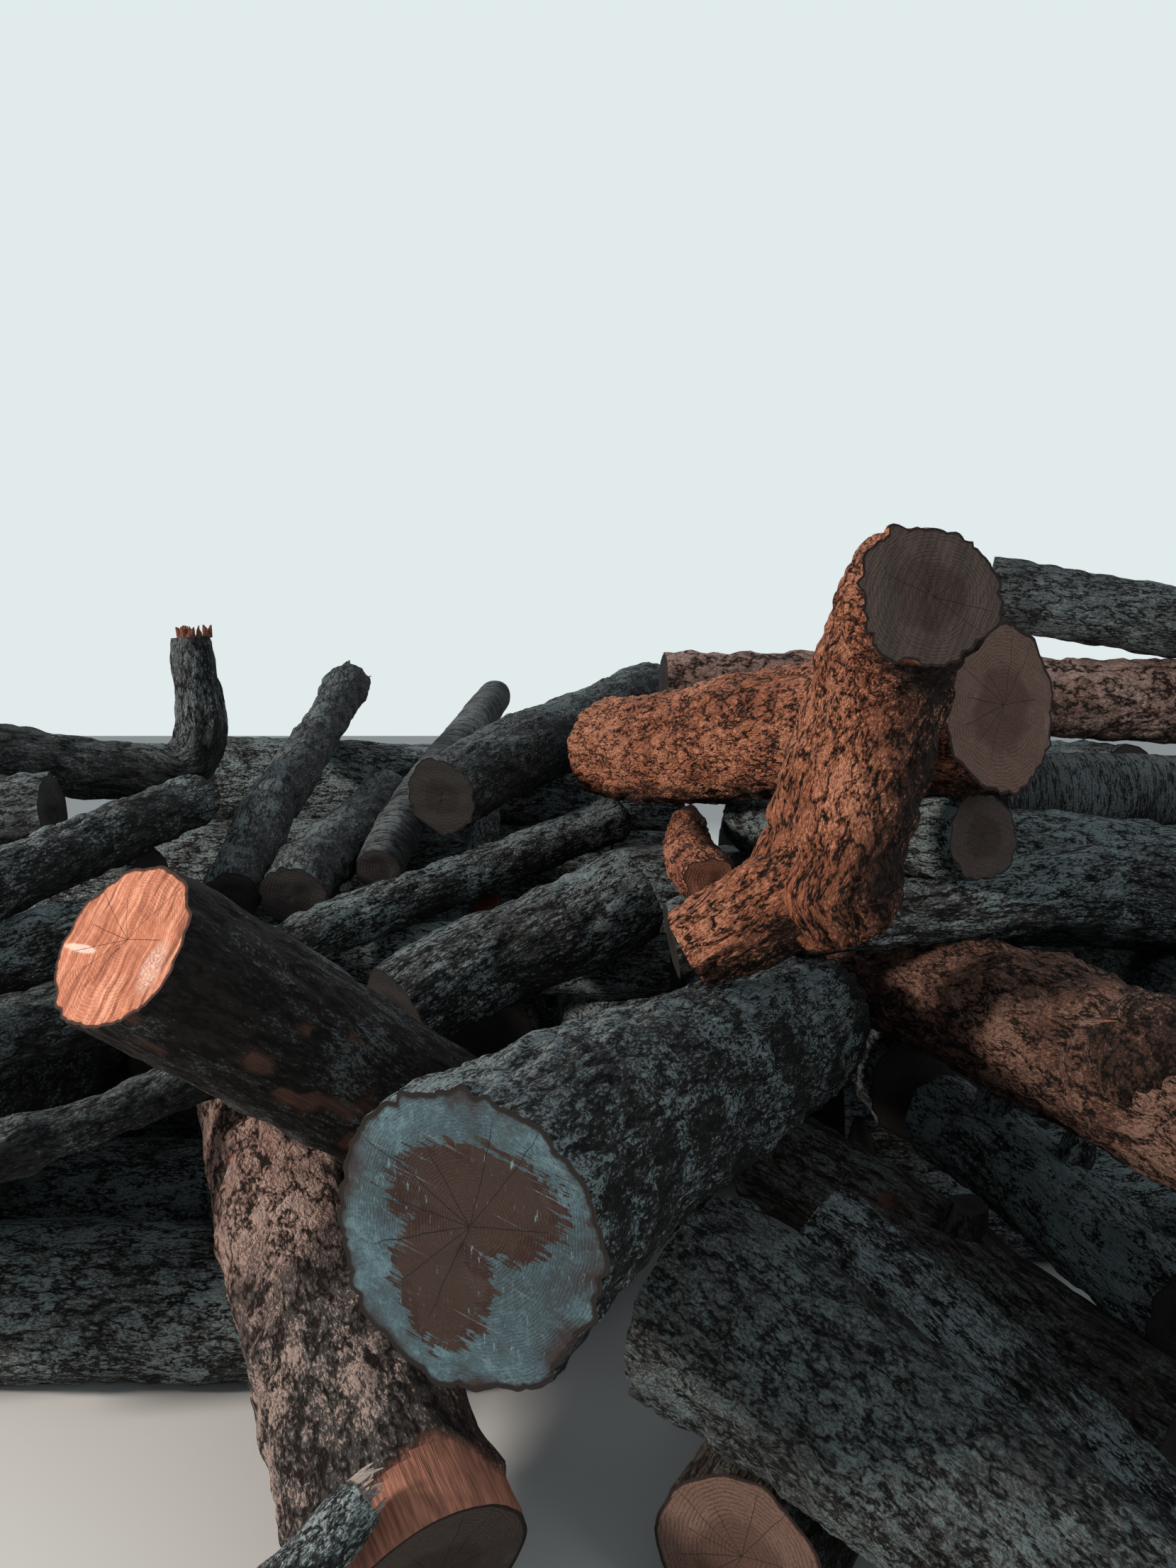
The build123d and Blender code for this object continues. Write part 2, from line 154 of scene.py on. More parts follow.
BARKS = {
    "ridged": Bark(
        plate=(0.075, 0.024), ridge=0.0055, lump=0.007,
        furrow=(0.004, 0.004, 0.004), painted_shade_side=(0.026, 0.025, 0.024), painted_sun_side=(0.092, 0.092, 0.092),
        lichen=(0.260, 0.330, 0.340), lichen_share=0.85,
    ),
    "grey": Bark(
        plate=(0.065, 0.024), ridge=0.0050, lump=0.008,
        furrow=(0.006, 0.006, 0.006), painted_shade_side=(0.034, 0.037, 0.038), painted_sun_side=(0.115, 0.130, 0.134),
        lichen=(0.210, 0.265, 0.275), lichen_share=0.50,
    ),
    "scaly": Bark(
        plate=(0.050, 0.026), ridge=0.0060, lump=0.009,
        furrow=(0.004, 0.004, 0.004), painted_shade_side=(0.030, 0.031, 0.031), painted_sun_side=(0.082, 0.086, 0.086),
        lichen=(0.160, 0.210, 0.210), lichen_share=0.55,
    ),
    "worn": Bark(
        plate=(0.120, 0.030), ridge=0.0035, lump=0.007,
        furrow=(0.006, 0.005, 0.004), painted_shade_side=(0.028, 0.022, 0.020), painted_sun_side=(0.078, 0.060, 0.052),
        lichen=(0.150, 0.190, 0.195), lichen_share=0.45,
        wood=(0.100, 0.046, 0.032), peeled=0.04,
    ),
    "warm": Bark(
        plate=(0.055, 0.026), ridge=0.0060, lump=0.009,
        furrow=(0.008, 0.004, 0.003), painted_shade_side=(0.045, 0.025, 0.018), painted_sun_side=(0.420, 0.145, 0.075),
        lichen=(0.740, 0.330, 0.200), lichen_share=0.50,
        wood=(0.46, 0.18, 0.10), peeled=0.02,
    ),
    "chipped": Bark(
        plate=(0.075, 0.050), ridge=0.0055, lump=0.007,
        furrow=(0.020, 0.012, 0.009), painted_shade_side=(0.100, 0.062, 0.050), painted_sun_side=(0.420, 0.250, 0.205),
        lichen=(0.640, 0.470, 0.410), lichen_share=0.50,
        wood=(0.50, 0.21, 0.14), peeled=0.06,
    ),
    "birch": Bark(
        plate=(0.014, 0.090), ridge=0.0015, lump=0.007,
        furrow=(0.010, 0.010, 0.010), painted_shade_side=(0.060, 0.066, 0.068), painted_sun_side=(0.190, 0.215, 0.220),
        lichen=(0.310, 0.360, 0.370), lichen_share=0.50,
    ),
    "burred": Bark(
        plate=(0.070, 0.032), ridge=0.0070, lump=0.020,
        furrow=(0.007, 0.004, 0.003), painted_shade_side=(0.042, 0.026, 0.021), painted_sun_side=(0.170, 0.080, 0.055),
        lichen=(0.400, 0.230, 0.170), lichen_share=0.45,
        wood=(0.34, 0.14, 0.09), peeled=0.04,
    ),
    "lichened": Bark(
        plate=(0.034, 0.018), ridge=0.0025, lump=0.005,
        furrow=(0.015, 0.016, 0.016), painted_shade_side=(0.050, 0.058, 0.060), painted_sun_side=(0.110, 0.135, 0.138),
        lichen=(0.420, 0.500, 0.500), lichen_share=0.75,
    ),
}
BARKS["peeling"] = replace(BARKS["chipped"], peeled_end=0.11, near_colour=(0.105, 0.098, 0.095))

FACES = {
    "fresh": Face(
        outer=(0.56, 0.215, 0.125), heart=(0.50, 0.180, 0.100), line=(0.22, 0.068, 0.036),
        rim=(0.040, 0.018, 0.012), ring=0.0060, contrast=0.55,
        speck=(0.74, 0.38, 0.26), speck_share=0.30,
    ),
    "stained": Face(
        outer=(0.075, 0.138, 0.164), heart=(0.042, 0.024, 0.018), line=(0.026, 0.021, 0.020),
        rim=(0.012, 0.009, 0.008), ring=0.0050, contrast=0.20,
        speck=(0.170, 0.290, 0.330), speck_share=0.80,
    ),
    "ringed": Face(
        outer=(0.165, 0.098, 0.075), heart=(0.105, 0.057, 0.043), line=(0.045, 0.025, 0.019),
        rim=(0.020, 0.012, 0.010), ring=0.0080, contrast=0.60,
        speck=(0.32, 0.24, 0.20), speck_share=0.35,
    ),
    "pale_ringed": Face(
        outer=(0.150, 0.115, 0.100), heart=(0.100, 0.070, 0.060), line=(0.038, 0.028, 0.024),
        rim=(0.020, 0.014, 0.012), ring=0.0110, contrast=0.65,
        speck=(0.30, 0.26, 0.24), speck_share=0.35,
    ),
    "smoked": Face(
        outer=(0.072, 0.053, 0.045), heart=(0.048, 0.031, 0.025), line=(0.020, 0.013, 0.010),
        rim=(0.014, 0.010, 0.009), ring=0.0065, contrast=0.50,
        speck=(0.14, 0.115, 0.10), speck_share=0.35,
    ),
    "rusty": Face(
        outer=(0.230, 0.092, 0.056), heart=(0.150, 0.056, 0.034), line=(0.062, 0.024, 0.015),
        rim=(0.020, 0.012, 0.010), ring=0.0080, contrast=0.45,
        speck=(0.34, 0.19, 0.14), speck_share=0.25,
    ),
    "split": Face(
        outer=(0.480, 0.430, 0.400), heart=(0.400, 0.340, 0.310), line=(0.200, 0.160, 0.140),
        rim=(0.030, 0.026, 0.024), ring=0.0060, contrast=0.40,
        speck=(0.60, 0.56, 0.52), speck_share=0.40,
    ),
    # painted shade: near black ends, as if they lay in shadow
    "painted_shade": Face(
        outer=(0.024, 0.021, 0.020), heart=(0.016, 0.013, 0.012), line=(0.008, 0.007, 0.006),
        rim=(0.008, 0.007, 0.006), ring=0.0100, contrast=0.50,
        speck=(0.06, 0.06, 0.058), speck_share=0.30,
    ),
}

# node: (bark, end towards the viewer, other end)
FINISH = {
    "front_log": ("ridged", "stained", "painted_shade"),
    "sunlit_log": ("worn", "fresh", "painted_shade"),
    "chip_bark_log": ("peeling", "smoked", "painted_shade"),
    "ringed_log": ("worn", "ringed", "painted_shade"),
    "forked_log": ("warm", "smoked", "painted_shade"),
    "tilted_log": ("warm", "ringed", "painted_shade"),
    "small_face_log": ("ridged", "smoked", "painted_shade"),
    "small_end_log": ("warm", "rusty", "painted_shade"),
    "peeping_log": ("ridged", "rusty", "painted_shade"),
    "burl_log": ("burred", "painted_shade", "painted_shade"),
    "pink_bark_log": ("chipped", "painted_shade", "painted_shade"),
    "grey_cross_log": ("birch", "painted_shade", "painted_shade"),
    "top_log": ("grey", "painted_shade", "painted_shade"),
    "fan_log_1": ("grey", "painted_shade", "painted_shade"),
    "fan_log_2": ("grey", "painted_shade", "painted_shade"),
    "fan_log_3": ("birch", "painted_shade", "painted_shade"),
    "fan_log_4": ("grey", "painted_shade", "painted_shade"),
    "upper_left_log": ("grey", "painted_shade", "painted_shade"),
    "lower_left_log": ("grey", "painted_shade", "painted_shade"),
    "thin_left_log": ("grey", "painted_shade", "painted_shade"),
    "scaly_log": ("scaly", "painted_shade", "painted_shade"),
    "stub_log": ("worn", "painted_shade", "painted_shade"),
    "elbow_log": ("grey", "painted_shade", "rusty"),
    "lichen_branch": ("lichened", "pale_ringed", "split"),
}
USUAL_FINISH = ("ridged", "painted_shade", "painted_shade")
ROUND_LIMBS = ("burl_log",)  # a grown-over burl, not a sawn branch

# logs whose far end is torn off: (how far the splinters stand out, how many, material)
TORN = {
    "elbow_log": (0.045, 44, "rusty"),
    "fan_log_1": (0.130, 16, "painted_shade"),
    "lichen_branch": (0.050, 18, "split"),
}

# The splinters' outline: each ring's place between foot and tip, and its width as a share of the foot's
SPLINTER_HEIGHTS = np.array([-0.10, 0.0, 0.60, 1.0])
SPLINTER_WIDTHS = np.array([1.0, 1.0, 0.80, 0.30])
SPLINTER_THICKNESS = 0.45  # as a share of its width

# name, place, what it points at, width in metres, watts, colour
LAMPS = (
    ("key_light", (-7.6, -3.6, 3.6), (0, 0, 0.8), 1.2, 720, (1.0, 0.90, 0.81)),
    ("fill_light", (5.0, -6.5, 4.5), (0, 0, 0.6), 5.0, 130, (0.92, 0.97, 1.0)),
    ("back_light", (1.0, 8.0, 6.0), (0, 0, 1.0), 5.0, 300, (0.94, 0.97, 1.0)),
)
ROOM_LIGHT = (0.38, 0.42, 0.44)
BACKDROP = (0.76, 0.83, 0.84)
FLOOR_COLOUR = (0.62, 0.62, 0.61)
FLOOR_HALF = 40.0
FLOOR_GAP = 0.001


@dataclass
class End:
    """A flat round end of a trunk or limb."""

    centre: np.ndarray
    outward: np.ndarray
    radius: float


def unit(vector):
    return vector / np.linalg.norm(vector, axis=-1, keepdims=True)


def hermite(t):
    """Weights of a cubic stretch's start, its end and its slopes at both, a share t along it."""
    return 2 * t**3 - 3 * t**2 + 1, 3 * t**2 - 2 * t**3, t**3 - 2 * t**2 + t, t**3 - t**2


# Reading a log from the frame

def node_triangles(node):
    """Corner points of a node's triangles, (triangle, corner, axis)."""
    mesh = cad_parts[node].data
    points = np.empty(3 * len(mesh.vertices))
    mesh.vertices.foreach_get("co", points)
    mesh.calc_loop_triangles()
    corners = np.empty(3 * len(mesh.loop_triangles), int)
    mesh.loop_triangles.foreach_get("vertices", corners)
    return points.reshape(-1, 3)[corners].reshape(-1, 3, 3)


def separate_logs(corners):
    """Triangles that hang together, one set per log.

    Each corner takes the lowest label round it, again and again, until none changes."""
    _, index = np.unique(np.round(corners.reshape(-1, 3), DECIMALS), axis=0, return_inverse=True)
    index = index.reshape(-1, 3)
    label = np.arange(index.max() + 1)
    while True:
        lower = label.copy()
        np.minimum.at(lower, index.ravel(), np.repeat(label[index].min(1), 3))
        if (lower == label).all():
            break
        label = lower[lower]
    owner = label[index[:, 0]]
    return [corners[owner == one] for one in np.unique(owner)]


def planes(corners):
    """Each triangle's area, its outward direction and its plane's distance from the origin."""
    across = np.cross(corners[:, 1] - corners[:, 0], corners[:, 2] - corners[:, 0])
    area = np.linalg.norm(across, axis=1) / 2
    normal = across / np.maximum(2 * area, 1e-12)[:, None]
    return area, normal, (normal * corners[:, 0]).sum(1)


def sawn_ends(corners):
    """The flat round ends, widest first.

    Triangles are sorted into bins by direction and level. A bin with enough area may be part of an end, and
    all that lies in its plane is then tested for being one full round."""
    area, normal, level = planes(corners)
    keys = np.round(np.column_stack([normal * DIRECTION_BINS, level * LEVEL_BINS]))
    _, first, group = np.unique(keys, axis=0, return_index=True, return_inverse=True)
    total = np.bincount(group.ravel(), area)
    ends = []
    for seed in first[total > FLAT_AREA]:
        in_plane = (normal @ normal[seed] > SAME_DIRECTION) & (np.abs(level - level[seed]) < SAME_LEVEL)
        rim = np.unique(np.round(corners[in_plane].reshape(-1, 3), DECIMALS), axis=0)
        centre, radius = round_through(rim, rim.mean(0), normal[seed])
        known = any(np.linalg.norm(centre - end.centre) < SAME_END for end in ends)
        full = area[in_plane].sum() > ROUND_SHARE * radius**2
        if len(rim) >= FEWEST_CORNERS and full and not known:
            ends.append(End(centre, normal[seed], radius))
    return sorted(ends, key=lambda end: -end.radius)


def log_ends(corners):
    """The trunk's end towards the viewer, its other end, and the ends of the limbs."""
    ends = sawn_ends(corners)
    near, far = sorted(ends[:2], key=lambda end: end.centre[1])
    return near, far, ends[2:]


def cross_axes(direction):
    """Two unit vectors square to a direction: the viewer's right, and up."""
    helper = np.array([0.0, 0.0, 1.0]) if abs(direction[2]) < 0.8 else np.array([0.0, 1.0, 0.0])
    right = unit(np.cross(direction, helper))
    return right, np.cross(right, direction)


def round_through(points, middle, direction):
    """Centre and radius of the circle that fits points in a plane best, by linear least squares."""
    right, up = cross_axes(direction)
    x, y = (points - middle) @ right, (points - middle) @ up
    fit = np.linalg.lstsq(np.column_stack([2 * x, 2 * y, np.ones(len(x))]), x**2 + y**2, rcond=None)[0]
    radius = np.sqrt(max(fit[2] + fit[0] ** 2 + fit[1] ** 2, 1e-9))
    return middle + fit[0] * right + fit[1] * up, radius


def slice_round(corners, middle, direction, radius):
    """The log's round section in a plane: where the triangles' edges cross it.

    Points that a limb adds lie too far off the expected radius and are left out."""
    height = (corners - middle) @ direction
    found = []
    for a, b in ((0, 1), (1, 2), (2, 0)):
        crossing = height[:, a] * height[:, b] < 0
        share = height[crossing, a] / (height[crossing, a] - height[crossing, b])
        found.append(corners[crossing, a] + share[:, None] * (corners[crossing, b] - corners[crossing, a]))
    found = np.concatenate(found)
    for tolerance in SLICE_TOLERANCES:
        reach = np.linalg.norm(found - middle, axis=1)
        found = found[np.abs(reach - radius) < tolerance * radius]
        if len(found) < FEWEST_CROSSINGS:
            return middle, radius
        middle, radius = round_through(found, middle, direction)
    return middle, radius


def smooth_through(values, share):
    """A cubic curve through evenly spaced values, with their central differences as slopes."""
    slope = np.gradient(values, axis=0)
    place = share * (len(values) - 1)
    k = np.minimum(place.astype(int), len(values) - 2)
    start, end, leaving, arriving = hermite((place - k).reshape(-1, *[1] * (values.ndim - 1)))
    return start * values[k] + end * values[k + 1] + leaving * slope[k] + arriving * slope[k + 1]


def centre_line(corners, near, far):
    """Evenly spaced centres and radii from one end of a trunk to the other.

    The first guess is the cubic that leaves each end squarely. Each station then moves to the middle of
    its slice."""
    share = np.linspace(0, 1, STATIONS)
    start, end, leaving, arriving = hermite(share[:, None])
    span = np.linalg.norm(far.centre - near.centre)
    centres = start * near.centre + end * far.centre
    centres += span * (leaving * -near.outward + arriving * far.outward)
    radii = near.radius + (far.radius - near.radius) * share
    for _ in range(SLICE_ROUNDS):
        direction = unit(np.gradient(centres, axis=0))
        for k in range(1, STATIONS - 1):
            centres[k], radii[k] = slice_round(corners, centres[k], direction[k], radii[k])
        run = np.concatenate([[0], np.cumsum(np.linalg.norm(np.diff(centres, axis=0), axis=1))])
        even = share * run[-1]
        centres = np.column_stack([np.interp(even, run, centres[:, axis]) for axis in range(3)])
        radii = np.interp(even, run, radii)
    return centres, radii


def limb_line(end, centres, rounded):
    """Centres and radii of a limb: straight back from its tip to the trunk's centre line.

    It widens to its foot, and a rounded tip closes in a quarter circle."""
    off_axis = np.linalg.norm(np.cross(centres - end.centre, end.outward), axis=1)
    foot = centres[np.argmin(off_axis + 0.001 * np.linalg.norm(centres - end.centre, axis=1))]
    reach = abs((foot - end.centre) @ end.outward)
    share = np.linspace(0, 1, STATIONS)
    radii = end.radius * (1 + 0.30 * share + 0.25 * share**6)
    if rounded:
        radii = radii * np.sqrt(np.clip(1 - (1 - share * reach / end.radius).clip(0) ** 2, 0.02, 1))
    return end.centre - end.outward * (share * reach)[:, None], radii


# Relief of the bark: functions of the distance along the log and the angle round it

def ripple(along, angle, wave, waves, rng):
    """Smooth noise from -1 to 1: random heights on a lattice, joined by smooth steps.

    The lattice has a row every wave along the log, and a number of waves round it."""
    rows = int(along.max() / wave) + 3
    heights = rng.uniform(-1, 1, (rows, waves))
    x, y = along / wave, (angle / (2 * pi) % 1) * waves
    i, j = x.astype(int), y.astype(int) % waves
    u, v = x - i, y - y.astype(int)
    u, v = u * u * (3 - 2 * u), v * v * (3 - 2 * v)
    k = (j + 1) % waves
    near = heights[i, j] * (1 - v) + heights[i, k] * v
    return near * (1 - u) + (heights[i + 1, j] * (1 - v) + heights[i + 1, k] * v) * u


def swelling(along, angle, girth, size, rng, fewest=3):
    """Ripples of one size in metres, (along the log, round it)."""
    return ripple(along, angle, size[0], max(fewest, int(girth / size[1])), rng)


def knots(along, angle, girth, rng):
    """A few overgrown branch scars: (height, depth of the dimple, which the material darkens, partly as
    painted shade), each a low ring round a dimple.

    A scar's height is a wide bell less a narrow one."""
    height, eye = np.zeros(along.shape), np.zeros(along.shape)
    for _ in range(rng.integers(*KNOT_COUNT)):
        place, turn, size = rng.uniform(0, along.max()), rng.uniform(0, 2 * pi), rng.uniform(*KNOT_SIZE)
        around = np.abs((angle - turn + pi) % (2 * pi) - pi) * girth / (2 * pi)
        away = np.hypot((along - place) / KNOT_STRETCH, around) / size
        dimple = np.exp(-((away / DIMPLE_SHARE) ** 2))
        height += KNOT_HEIGHT * size * (np.exp(-(away**2)) - 0.80 * dimple)
        eye += dimple
    return height, eye


def peeled_patches(bark, along, angle, girth, rng):
    """1 where the bark is gone, 0 where it holds: ragged patches, and a band at the near end."""
    patch = swelling(along, angle, girth, (0.24, 0.14), rng)
    patch += 0.45 * swelling(along, angle, girth, (0.06, 0.04), rng, 4)
    bare = np.clip((patch - 1.05 + 2.2 * bark.peeled) / 0.08, 0, 1) * (bark.peeled > 0)
    ragged = bark.peeled_end * (1 + 0.45 * ripple(along, angle, 0.30, 9, rng)) - along
    return np.maximum(bare, np.clip(ragged / 0.008, 0, 1) * (bark.peeled_end > 0))


def bark_relief(bark, along, angle, girth, rng):
    """Height over the round log, hollowness 0 to 1 (which the material sinks and darkens, partly as painted
    shade) and bareness 0 to 1.

    Height = low lumps + sharp-crested ridges that wander along the log + knots. Bare wood lies lower, and
    is smooth."""
    length, width = bark.plate
    wander = 0.55 * swelling(along, angle, girth, (0.20, 0.18), rng) * 2 * pi * width / girth * 2
    crest = np.abs(swelling(along, angle + wander, girth, (1.3 * length, 1.5 * width), rng, 5))
    crest += 0.5 * np.abs(swelling(along, angle - wander, girth, (0.6 * length, 0.8 * width), rng, 7))
    lumps = swelling(along, angle, girth, (0.30, 0.24), rng)
    lumps += 0.5 * swelling(along, angle, girth, (0.10, 0.10), rng)
    scars, eye = knots(along, angle, girth, rng)
    bare = peeled_patches(bark, along, angle, girth, rng)
    height = (bark.lump * lumps + bark.ridge * (2.6 * crest - 1.3)) * (1 - 0.75 * bare)
    height = height + scars - BARK_THICKNESS * bare
    hollow = np.clip(np.clip(0.75 - 1.9 * crest, 0, 1) + eye, 0, 1) * (1 - bare)
    return height, hollow, bare


def out_of_round(turn, along, rng):
    """Low waves round the log, as a share of its radius: cosines that turn slowly along it."""
    starts = rng.uniform(0, 2 * pi, len(LOBES))
    waves = zip(LOBES, starts)
    return sum(size * np.cos(count * turn + start + twist * along) for (count, size, twist), start in waves)


def saw_steps(reach, turn, over, rng):
    """How far a sawn face stands out along the log.

    A fine sine from the saw and broad ripples, which fade out at the rim."""
    steps = SAW_STEP * np.sin(over / SAW_PITCH) + SAW_WAVE * ripple(reach, turn, 0.4, 5, rng)
    return steps * np.clip((1 - reach) * SAW_TO_RIM, 0, 1)


# Surfaces

def side_and_ends(length, cell):
    """Rings of one log from middle to middle: each one's share of its length and of its radius.

    The third value is how many rings a face has."""
    rows = max(8, int(round(length / (CELL_STRETCH * cell))))
    rings = FACE_RINGS if cell < COURSE_CELL else COURSE_FACE_RINGS
    inner = (np.arange(rings) + 0.6) / (rings + 0.6)
    share = np.concatenate([np.zeros(rings), np.linspace(0, 1, rows), np.ones(rings)])
    reach = np.concatenate([inner, np.ones(rows), inner[::-1]])
    return share, reach, rings


def ring_axes(tangent):
    """Two unit vectors square to each tangent: right and up, or others where a log stands steeply."""
    steep = np.abs(tangent[:, 2]).max() > 0.85
    right = unit(np.cross(tangent, (1.0, 0.0, 0.0) if steep else (0.0, 0.0, 1.0)))
    return right, np.cross(right, tangent)


def ring_frames(centres, radii, share):
    """Each ring's centre, its radius, the direction along the log and both axes across it."""
    centre, radius = smooth_through(centres, share)[:, None], smooth_through(radii, share)[:, None]
    tangent = unit(smooth_through(unit(np.gradient(centres, axis=0)), share))
    return centre, radius, tangent, *ring_axes(tangent)


def grid_faces(total, columns, rings, finishes):
    """Four-cornered cells between the rings, three-cornered ones round both middles, and their materials."""
    i, j = np.arange(total - 1)[:, None], np.arange(columns)[None]
    k = (j + 1) % columns
    rows = (i * columns + j, (i + 1) * columns + j, (i + 1) * columns + k, i * columns + k)
    bark, near, far = finishes
    ring = np.arange(total - 1)
    band = np.where(ring < rings, near, np.where(ring >= total - 1 - rings, far, bark))
    last, middle = (total - 1) * columns, total * columns
    near_fan = np.column_stack([np.full(columns, middle), j[0], k[0]])
    far_fan = np.column_stack([np.full(columns, middle + 1), last + k[0], last + j[0]])
    return {
        "quads": np.stack(rows, axis=2).reshape(-1, 4),
        "quad_finish": np.repeat(band, columns),
        "fans": np.concatenate([near_fan, far_fan]),
        "fan_finish": np.repeat([near, far], columns),
    }


def with_middles(values, near, far):
    """The values of the rings' points in one row, and after them those of both ends' middles."""
    return np.concatenate([values.reshape(-1, *values.shape[2:]), [near, far]])


def tube_part(centres, radii, bark, cell, rng, finishes=(0, 1, 2)):
    """One closed log: rings from the near face's middle out, along the bark, and in to the far face's middle.

    A point is centre + reach x (radius x (1 + lobes) + height) x (right cos a + up sin a), and a face's point
    also moves a little along the log, by the saw's steps."""
    length = np.linalg.norm(np.diff(centres, axis=0), axis=1).sum()
    girth = 2 * pi * radii.max()
    columns = max(20, int(round(girth / cell)))
    share, reach, rings = side_and_ends(length, cell)
    centre, radius, tangent, right, up = ring_frames(centres, radii, share)
    angle = np.linspace(0, 2 * pi, columns, endpoint=False)
    along, turn = np.meshgrid(share * length, angle, indexing="ij")
    reach, radius = np.broadcast_to(reach[:, None], turn.shape), np.broadcast_to(radius, turn.shape)
    height, hollow, bare = bark_relief(bark, along, turn, girth, rng)
    lobes = out_of_round(turn, along, rng)
    height = height - EDGE_DROP * np.exp(-np.minimum(along, length - along) / EDGE_REACH)
    out = reach * (radius * (1 + lobes) + height)
    across, over = out * np.cos(turn), out * np.sin(turn)
    saw = saw_steps(reach, turn, over, rng)
    outward = np.cos(turn)[:, :, None] * right[:, None] + np.sin(turn)[:, :, None] * up[:, None]
    points = centre + out[:, :, None] * outward + saw[:, :, None] * tangent[:, None]
    points[:, :, 2] = np.maximum(points[:, :, 2], CAD_BOX[0][2])
    offset = rng.uniform(0, GRAIN_RANGE)
    grain = np.stack([along + offset, across, over], axis=2)
    return grid_faces(len(share), columns, rings, finishes) | {
        "points": with_middles(points, points[0].mean(0), points[-1].mean(0)),
        "grain": with_middles(grain, (offset, 0, 0), (offset + length, 0, 0)),
        "reach": with_middles(reach, 0, 0),
        "hollow": with_middles(hollow, 0, 0),
        "bare": with_middles(bare, 0, 0),
        "along": with_middles(along, 0, length),
        # how far each point faces the painted light, 0 to 1
        "painted_sun_side": with_middles(0.5 + 0.5 * outward @ PAINTED_LIGHT_FROM, 0.5, 0.5),
        "radius": with_middles(radius, radii[0], radii[-1]),
    }


def placed(name, data):
    """A new object in the scene."""
    thing = bpy.data.objects.new(name, data)
    bpy.context.scene.collection.objects.link(thing)
    return thing


def add_pattern(mesh, name, values):
    """A number or a vector per point, for the materials to read."""
    kind, field = ("FLOAT_VECTOR", "vector") if values.ndim == 2 else ("FLOAT", "value")
    mesh.attributes.new(name, kind, "POINT").data.foreach_set(field, values.ravel())


def add_faces(mesh, quads, fans, finish):
    mesh.loops.add(quads.size + fans.size)
    mesh.loops.foreach_set("vertex_index", np.concatenate([quads.ravel(), fans.ravel()]))
    mesh.polygons.add(len(quads) + len(fans))
    firsts = np.concatenate([np.arange(len(quads)) * 4, quads.size + np.arange(len(fans)) * 3])
    mesh.polygons.foreach_set("loop_start", firsts)
    mesh.polygons.foreach_set("material_index", finish)
    mesh.polygons.foreach_set("use_smooth", np.ones(len(quads) + len(fans), bool))


def joined_piece(name, parts, materials):
    """One object from several closed parts, with their pattern values."""
    starts = np.cumsum([0] + [len(part["points"]) for part in parts])
    quads = np.concatenate([part["quads"] + start for part, start in zip(parts, starts)])
    fans = np.concatenate([part["fans"] + start for part, start in zip(parts, starts)])
    finish = np.concatenate([part["quad_finish"] for part in parts] + [part["fan_finish"] for part in parts])
    mesh = bpy.data.meshes.new(name)
    mesh.vertices.add(starts[-1])
    mesh.vertices.foreach_set("co", np.concatenate([part["points"] for part in parts]).ravel())
    add_faces(mesh, quads, fans, finish)
    mesh.update(calc_edges=True)
    for pattern in ("reach", "along", "hollow", "bare", "painted_sun_side", "radius", "grain"):
        add_pattern(mesh, pattern, np.concatenate([part[pattern] for part in parts]))
    mesh.set_sharp_from_angle(angle=radians(50))
    for material in materials:
        mesh.materials.append(material)
    return placed(name, mesh)


def splinter_points(end, height, count, rng):
    """Rings of four corners up each splinter, (splinter, ring, corner, axis).

    A corner is foot + length x (share x outward + share squared x lean), and from there half a width x
    (right cos a + thin up sin a), where share is the ring's place between foot and tip."""
    right, up = cross_axes(end.outward)
    turn = rng.uniform(0, 2 * pi, count)
    off_middle = end.radius * np.sqrt(rng.uniform(0.10, 0.72, count))
    length = height * rng.uniform(0.25, 1.0, count) ** 1.5
    width = rng.uniform(0.18, 0.36, count) * end.radius
    lean = rng.uniform(-0.25, 0.25, (count, 2)) @ np.stack([right, up])
    side = np.cos(turn)[:, None] * right + np.sin(turn)[:, None] * up
    foot = end.centre + off_middle[:, None] * side
    axis = foot[:, None] + (length[:, None] * SPLINTER_HEIGHTS)[:, :, None] * end.outward
    axis = axis + (length[:, None] * SPLINTER_HEIGHTS.clip(0) ** 2)[:, :, None] * lean[:, None]
    corner = np.arange(4)[:, None] * pi / 2
    ring = np.cos(corner) * right + SPLINTER_THICKNESS * np.sin(corner) * up
    return axis[:, :, None] + (width[:, None] * SPLINTER_WIDTHS / 2)[:, :, None, None] * ring


def splinter_faces(count):
    """Four sides between the rings of each splinter, and its two ends."""
    rings = len(SPLINTER_HEIGHTS)
    k, j = np.meshgrid(np.arange(rings - 1) * 4, np.arange(4), indexing="ij")
    following = (j + 1) % 4
    sides = np.stack([k + j, k + following, k + 4 + following, k + 4 + j], axis=2).reshape(-1, 4)
    top = 4 * (rings - 1)
    cells = np.concatenate([sides, [[3, 2, 1, 0], [top, top + 1, top + 2, top + 3]]])
    return (np.arange(count)[:, None, None] * 4 * rings + cells).reshape(-1, 4)


def splinters(node, end, rng):
    """The torn fibres that stand on a broken end: blunt spikes, slightly bent."""
    height, count, kind = TORN[node]
    points = splinter_points(end, height, count, rng).reshape(-1, 3)
    mesh = bpy.data.meshes.new(f"{node}_splinters")
    mesh.from_pydata(points.tolist(), [], splinter_faces(count).tolist())
    add_pattern(mesh, "grain", points - end.centre)
    add_pattern(mesh, "radius", np.full(len(points), end.radius))
    mesh.materials.append(face_material(kind))
    piece = placed(f"{node}_splinters", mesh)
    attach(piece, BODY)


# Shader maths

